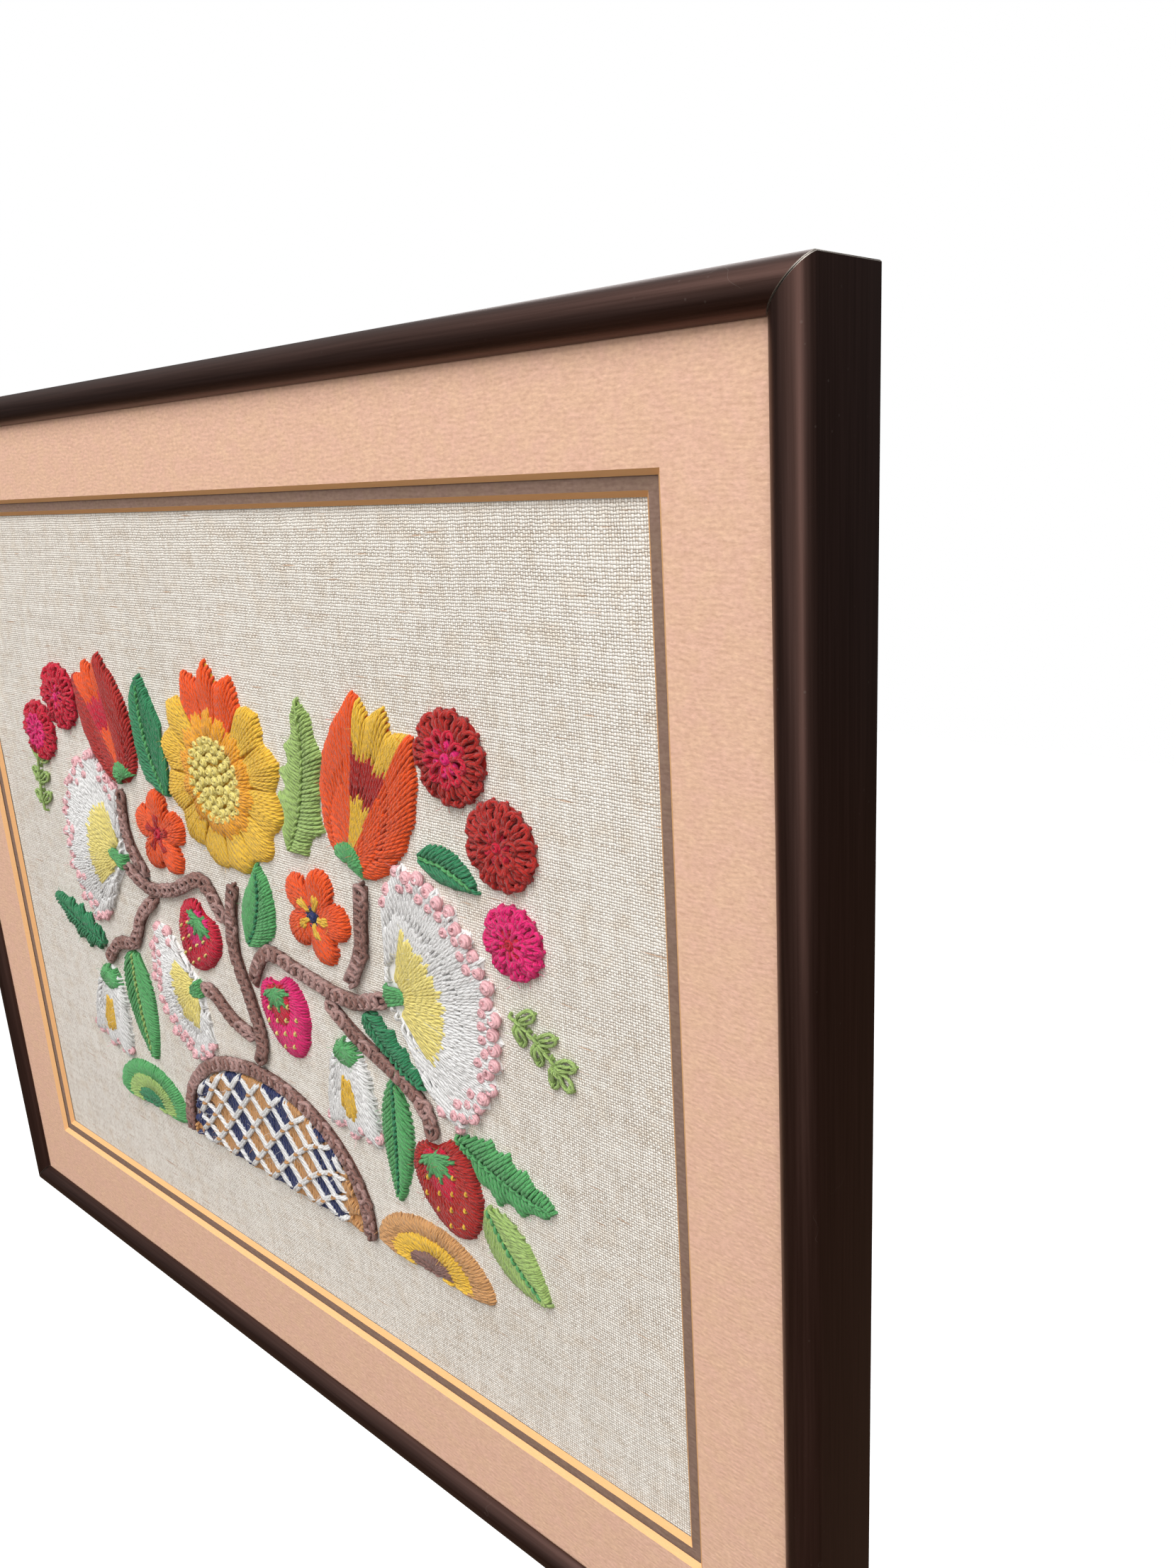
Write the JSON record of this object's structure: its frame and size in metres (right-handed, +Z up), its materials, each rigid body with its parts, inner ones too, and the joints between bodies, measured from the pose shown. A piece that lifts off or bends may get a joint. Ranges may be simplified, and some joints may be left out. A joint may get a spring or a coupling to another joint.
{
  "type": "crewel embroidery panel with its frame",
  "caption": "Wool embroidery of a flowering tree on stretched linen, in two bevelled window mats and a narrow mitred wall frame with a half-round front.",
  "frame": {"origin": "on the back face of the top rail, at mid length, where the panel meets the wall", "axes": "+X right as seen from the front, +Y into the wall, +Z up; the needlework faces -Y"},
  "size_m": [0.449, 0.0287, 0.37],
  "materials": {
    "frame_finish": "dark bronze anodised, satin",
    "mat_peach": "matte paper face with a fine horizontal rib",
    "mat_taupe": "matte paper face",
    "linen": "natural plain weave, matte",
    "backing": "plain board",
    "wool_trellis": "tan and navy wool under white couching",
    "wool_brown": "two-ply wool",
    "wool_white": "two-ply wool with pink knots and yellow",
    "wool_gold": "two-ply wool",
    "wool_orange": "two-ply wool",
    "wool_rust": "two-ply wool",
    "wool_crimson": "two-ply wool",
    "wool_magenta": "two-ply wool",
    "wool_deep_green": "two-ply wool",
    "wool_green": "two-ply wool",
    "wool_lime": "two-ply wool",
    "wool_tan": "two-ply wool"
  },
  "bodies": {
    "root": {"backing_board": "backing", "bell_left": "wool_white", "bell_right": "wool_white", "carnation_left": "wool_white", "carnation_low": "wool_white", "carnation_right": "wool_white", "frame_bottom": "frame_finish", "frame_left": "frame_finish", "frame_right": "frame_finish", "frame_top": "frame_finish", "hillock_edge": "wool_brown", "hillock_left": "wool_green", "hillock_right": "wool_tan", "hillock_trellis": "wool_trellis", "leaf_bell": "wool_green", "leaf_crown_left": "wool_deep_green", "leaf_crown_right": "wool_lime", "leaf_left_low": "wool_deep_green", "leaf_mid_right": "wool_green", "leaf_right_end": "wool_lime", "leaf_right_far": "wool_green", "leaf_right_foot": "wool_green", "leaf_right_mid": "wool_deep_green", "leaf_top_right": "wool_deep_green", "linen_ground": "linen", "mat_inner": "mat_taupe", "mat_outer": "mat_peach", "pomegranate": "wool_gold", "rosehip_far": "wool_magenta", "rosehip_left": "wool_crimson", "rosehip_low": "wool_magenta", "rosehip_mid": "wool_rust", "rosehip_top": "wool_crimson", "sprig_left": "wool_lime", "sprig_right": "wool_lime", "star_left": "wool_orange", "star_right": "wool_orange", "stem_bell": "wool_brown", "stem_left": "wool_brown", "stem_left_low": "wool_brown", "stem_left_top": "wool_brown", "stem_right": "wool_brown", "stem_right_low": "wool_brown", "stem_right_top": "wool_brown", "stem_trunk": "wool_brown", "strawberry_left": "wool_crimson", "strawberry_mid": "wool_magenta", "strawberry_right": "wool_rust", "tulip_left": "wool_rust", "tulip_right": "wool_orange"}
  },
  "joints": []
}
